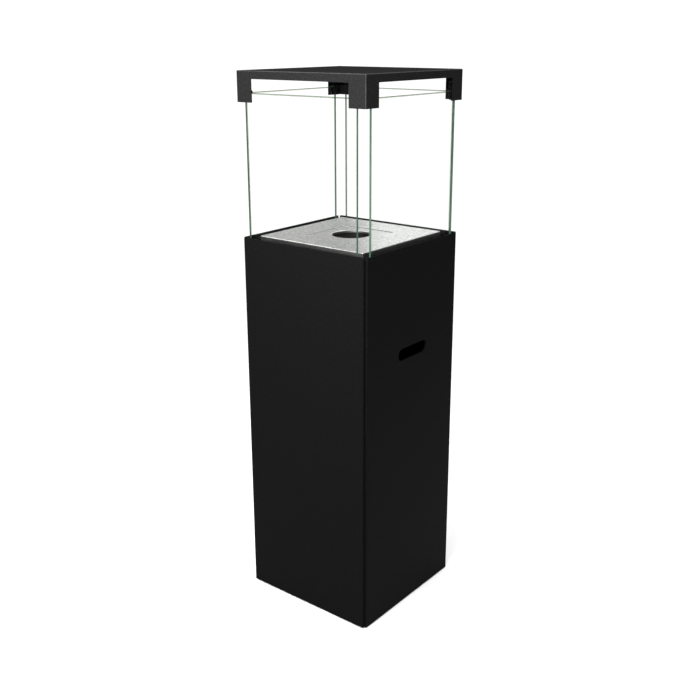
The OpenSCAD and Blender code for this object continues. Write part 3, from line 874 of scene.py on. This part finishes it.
@dataclass
class Burner:
    """The stainless tray with its pressed square, and the burner below it.

    Attributes:
        shop: The workshop.
        roll: Radius of the tray's folded edge.
        corner: Radius of the tray's corners.
        slope: Width of the sloped wall round the pressed square.
        press: Width of the pressed square.
        depth: Depth of that square.
        press_corners: Its corner radii, from its outer line down to its floor.
        soft: Width of the soft turn at the slope's foot.
        run_out: Height of that turn.
        steep_inside: A face with less upward normal than this gets the darker, rougher steel that paints
            shade on it.
        steep_outside: The same outside the pressed square.
        port: Radius of the flame opening.
        lip_r: Radius of the opening's turned-down lip.
        steel: Sheet thickness.
        tube_r: Radius of the gas tube.
        lead_r: Radius of the igniter's lead and of the probe's capillary.
        lead_bend: Radius of their bends.
        igniter_x: Distance of the igniter from the middle.
        lead_turn: Length of the lead's last stretch.
        lead_drop: Height of the lead's upper run above its lower one.
        probe_y: Distance of the probe from the middle.
        probe_l: Length of the probe.
        probe_r: Radius of the probe.
        probe_drop: Length of the capillary's last stretch.
    """

    shop: Workshop
    roll: float = 2.2 * MM
    corner: float = 2.6 * MM
    slope: float = 1.6 * MM
    press: float = 156 * MM
    depth: float = 2 * MM
    press_corners: tuple[float, float, float, float] = (7.0 * MM, 6.6 * MM, 5.0 * MM, 4.6 * MM)
    soft: float = 1.2 * MM
    run_out: float = 0.3 * MM
    steep_inside: float = 0.8
    steep_outside: float = 0.3
    port: float = 50 * MM
    lip_r: float = 3 * MM
    steel: float = 1.5 * MM
    tube_r: float = 4 * MM
    lead_r: float = 1.6 * MM
    lead_bend: float = 9 * MM
    igniter_x: float = 45 * MM
    lead_turn: float = 20 * MM
    lead_drop: float = 35 * MM
    probe_y: float = 53 * MM
    probe_l: float = 52 * MM
    probe_r: float = 2.5 * MM
    probe_drop: float = 17 * MM

    def build(self) -> None:
        """Builds the tray, the pot, the head and their fittings."""
        self.tray()
        self.shop.rounded("burner_pot", 0.4 * MM, segments=2)
        self.shop.rounded("burner_head", 1.2 * MM, lambda e: e.calc_length() > 2 * MM)
        for node in ("mixing_tube", "injector_bracket", "burner_shelf", "tilt_switch"):
            self.shop.rounded(node, 0.35 * MM, segments=2)
        self.shop.rounded("injector", 0.5 * MM, segments=2)
        self.shop.rounded("igniter_electrode", 0.4 * MM, segments=2)
        self.runs()
        self.shop.rounded("tube_nuts", 0.6 * MM)

    def runs(self) -> None:
        """Bends the gas tube, the igniter's lead and the probe's capillary."""
        self.gas_tube()
        self.igniter_lead()
        self.thermocouple()

    def gas_tube(self) -> None:
        """Bends the tube that leads from the valve to the injector."""
        low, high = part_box("gas_tube")
        left, level = low.x + self.tube_r, low.z + self.tube_r
        route = [Vector((0, 0, high.z)), Vector((0, 0, level)), Vector((left, 0, level)),
                 Vector((left, high.y, level))]
        spots = bent(route, 4 * self.tube_r)
        self.shop.settle(swept("gas_tube_bent", spots, [self.tube_r] * len(spots)), "gas_tube")

    def igniter_lead(self) -> None:
        """Bends the lead that joins the igniter to the electrode."""
        low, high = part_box("igniter_lead")
        right, across = high.x - self.lead_r, self.igniter_x
        level, turn = low.z + self.lead_r, high.y - self.lead_turn
        drop = level + self.lead_drop
        route = [Vector((right, 0, high.z)), Vector((right, 0, drop)), Vector((right, turn, drop)),
                 Vector((right, turn, level)), Vector((across, turn, level)), Vector((across, high.y, level))]
        spots = bent(route, self.lead_bend)
        self.shop.settle(swept("igniter_lead_bent", spots, [self.lead_r] * len(spots)), "igniter_lead")

    def thermocouple(self) -> None:
        """Makes the probe and bends its capillary to the valve."""
        low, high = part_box("thermocouple")
        near, far, left = self.probe_y, high.y - self.lead_r, low.x + self.lead_r
        tip, foot, drop = high.z, high.z - self.probe_l, low.z + self.probe_drop
        route = [Vector((0, near, foot)), Vector((0, near, drop)), Vector((0, far, drop)),
                 Vector((left, far, drop)), Vector((left, far, low.z))]
        heights = (tip, tip - 0.5 * MM, tip - 1.8 * MM, foot + 0.4 * MM)
        radii = [0.2 * self.probe_r, 0.6 * self.probe_r, self.probe_r, self.probe_r]
        capillary = bent(route, self.lead_bend)
        spots = [Vector((0, near, z)) for z in heights] + capillary
        probe = swept("thermocouple_bent", spots, radii + [self.lead_r] * len(capillary))
        self.shop.settle(probe, "thermocouple")

    def tray(self) -> None:
        """Lofts the tray's outer skin inwards and its inner skin back out."""
        low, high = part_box("burner_tray")
        top, half, thick = high.z, high.x, self.steel
        floor = top - self.depth
        square, brink = self.press / 2, self.press / 2 + self.slope
        foot, lip = square - self.soft, self.port + self.lip_r
        round_lip, wide, sunk = lip + 4 * MM, 1.0 * MM, 0.25 * MM
        at_rim, at_brink, at_slope, at_foot = self.press_corners
        curb, edge = half - self.roll, self.corner - self.roll
        outer = [Ring(half, self.corner, low.z)]
        outer += fold(curb, edge, top - self.roll, self.roll, 0, 90)
        outer += [Ring(brink + wide, at_rim, top), Ring(brink, at_brink, top - sunk)]
        outer += [Ring(square, at_slope, floor + self.run_out), Ring(foot, at_foot, floor)]
        outer += [Ring(round_lip, round_lip, floor)]
        outer += fold(lip, lip, floor - self.lip_r, self.lip_r, 90, 180)
        outer += [Ring(self.port, self.port, floor - 2 * self.lip_r)]
        inner = [Ring(self.port + thick, self.port + thick, floor - 2 * self.lip_r)]
        inner += fold(lip, lip, floor - self.lip_r, self.lip_r - thick, 180, 90)
        inner += [Ring(round_lip, round_lip, floor - thick), Ring(foot, at_foot, floor - thick)]
        inner += [Ring(square + thick, at_slope + wide, floor - thick + self.run_out)]
        inner += [Ring(brink + thick, at_rim + wide / 2, top - thick)]
        inner += fold(curb, edge, top - self.roll, self.roll - thick, 90, 0)
        inner += [Ring(half - thick, self.corner - thick, low.z)]
        tray = loft("burner_tray_pressed", outer + inner)
        tray.data.materials.append(self.shop.paints.of("stainless"))
        # Second slot: the darker steel that paints shade on the steep faces.
        tray.data.materials.append(SHADED_STEEP_STEEL.material())
        # Steep faces get the painted shade, flat ones the brushed steel.
        for face in tray.data.polygons:
            pressed = max(abs(face.center.x), abs(face.center.y)) < brink + wide
            steep = self.steep_inside if pressed else self.steep_outside
            face.material_index = int(abs(face.normal.z) < steep)
        self.shop.settle(tray, "burner_tray")


@dataclass
class Controls:
    """The recessed panel at the back with the knob, the igniter and the gas valve.

    Attributes:
        shop: The workshop.
    """

    shop: Workshop

    def build(self) -> None:
        """Builds the panel and what is fixed to it."""
        self.shop.rounded("control_panel", 0.9 * MM)
        self.shop.rounded("gas_valve", 1.8 * MM)
        self.shop.rounded("control_knob", 1.0 * MM)
        for node in ("piezo_body", "piezo_nut", "hose_tail"):
            self.shop.rounded(node, 0.6 * MM)
        self.shop.rounded("piezo_button", 0.9 * MM)
        self.shop.rounded("control_rivets", 0.6 * MM)
        self.shop.rounded("valve_spindle", 0.5 * MM, segments=2)


# --------------------------------------------------------------------- studio


@dataclass(frozen=True)
class SoftBox:
    """A square soft box.

    Attributes:
        name: Its name.
        place: Its middle in metres.
        aim: The point that it faces.
        size: Its width.
        watts: Its power.
    """

    name: str
    place: tuple[float, float, float]
    aim: tuple[float, float, float]
    size: float
    watts: float

    def hang(self) -> None:
        """Puts the lamp in the scene, where only its light is seen."""
        data = bpy.data.lights.new(self.name, "AREA")
        data.size = self.size
        data.energy = self.watts
        lamp = bpy.data.objects.new(self.name, data)
        lamp.location = self.place
        lamp.rotation_mode = "QUATERNION"
        lamp.rotation_quaternion = (Vector(self.aim) - Vector(self.place)).to_track_quat("-Z", "Y")
        lamp.visible_camera = False
        bpy.context.scene.collection.objects.link(lamp)


@dataclass
class Studio:
    """Camera, lamps, floor and surroundings.

    Attributes:
        eye: The camera's place in metres.
        aim: The point that its axis passes through.
        roll: Its roll in degrees.
        lens: Focal length in millimetres on a 36 mm sensor.
        rise: Vertical shift.
        floor_r: Radius of the floor.
        floor_tone: How pale the floor is.
        sky_light: Strength of the sky as a light.
        sky_seen: Strength of the sky as it is seen.
        lamps: The lamps.
    """

    eye: Vector
    aim: Vector
    roll: float
    lens: float
    rise: float
    floor_r: float = 2.6
    floor_tone: float = 0.86
    sky_light: float = 0.42
    sky_seen: float = 1.1
    lamps: Sequence[SoftBox] = (
        SoftBox("Overhead", (0.0, 0.0, 3.6), (0.0, 0.0, 0.0), 6.0, 265.0),
        SoftBox("Key", (0.2, -1.1, 1.55), (0.05, -0.2, 1.3), 0.9, 38.0),
        SoftBox("Back", (-0.5, 1.05, 1.4), (0.12, 0.1, 1.0), 0.4, 0.55),
    )

    def camera(self) -> None:
        """Sets up the camera."""
        data = bpy.data.cameras.new("Camera")
        data.lens = self.lens
        data.sensor_width = 36.0
        data.shift_y = self.rise
        data.clip_end = 60.0
        camera = bpy.data.objects.new("Camera", data)
        bpy.context.scene.collection.objects.link(camera)
        forward = (self.aim - self.eye).normalized()
        right = forward.cross(Vector((0, 0, 1))).normalized()
        up = right.cross(forward)
        turn = math.radians(self.roll)
        across = right * math.cos(turn) + up * math.sin(turn)
        upward = up * math.cos(turn) - right * math.sin(turn)
        basis = Matrix((across, upward, -forward)).transposed()
        camera.matrix_world = Matrix.Translation(self.eye) @ basis.to_4x4()
        bpy.context.scene.camera = camera

    def floor(self) -> None:
        """Lays a plain pale floor."""
        bm = bmesh.new()
        bmesh.ops.create_circle(bm, cap_ends=True, radius=self.floor_r, segments=96)
        mesh = bpy.data.meshes.new("Floor")
        bm.to_mesh(mesh)
        bm.free()
        floor = bpy.data.objects.new("Floor", mesh)
        g = Graph("Pale Floor")
        g.set(Base_Color=(*(self.floor_tone,) * 3, 1.0), Roughness=0.9, Specular_IOR_Level=0.0)
        mesh.materials.append(g.material)
        bpy.context.scene.collection.objects.link(floor)

    def surroundings(self) -> None:
        """Sets an even pale sky, seen as plain white."""
        world = bpy.data.worlds.new("Studio")
        world.use_nodes = True
        bpy.context.scene.world = world
        nodes, links = world.node_tree.nodes, world.node_tree.links
        white = (1.0, 1.0, 1.0, 1.0)
        lighting, seen = nodes["Background"], nodes.new("ShaderNodeBackground")
        for background, strength in ((lighting, self.sky_light), (seen, self.sky_seen)):
            background.inputs["Color"].default_value = white
            background.inputs["Strength"].default_value = strength
        path = nodes.new("ShaderNodeLightPath")
        mix = nodes.new("ShaderNodeMixShader")
        links.new(path.outputs["Is Camera Ray"], mix.inputs[0])
        links.new(lighting.outputs["Background"], mix.inputs[1])
        links.new(seen.outputs["Background"], mix.inputs[2])
        links.new(mix.outputs["Shader"], nodes["World Output"].inputs["Surface"])

    def build(self) -> None:
        """Sets up the floor, the sky and the lamps."""
        bpy.context.scene.view_settings.view_transform = "Standard"
        self.floor()
        self.surroundings()
        for lamp in self.lamps:
            lamp.hang()
            LOG.info("hung the %s lamp", lamp.name.lower())


def main() -> None:
    """Loads the frame and builds each sub-assembly in order."""
    logging.basicConfig(level=logging.INFO, format="%(name)s: %(message)s")
    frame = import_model()
    studio = Studio(eye=Vector((1.5032, -1.8993, 1.4964)), aim=Vector((-0.0031, -0.0024, 0.7525)),
                    roll=-0.128, lens=48.64, rise=-0.0357)
    studio.camera()
    shop = Workshop(frame, Paints())
    for part in (Column(shop), Door(shop), Lantern(shop), Burner(shop), Controls(shop)):
        LOG.info("building the %s", type(part).__name__.lower())
        part.build()
    studio.build()


if __name__ == "__main__":
    main()
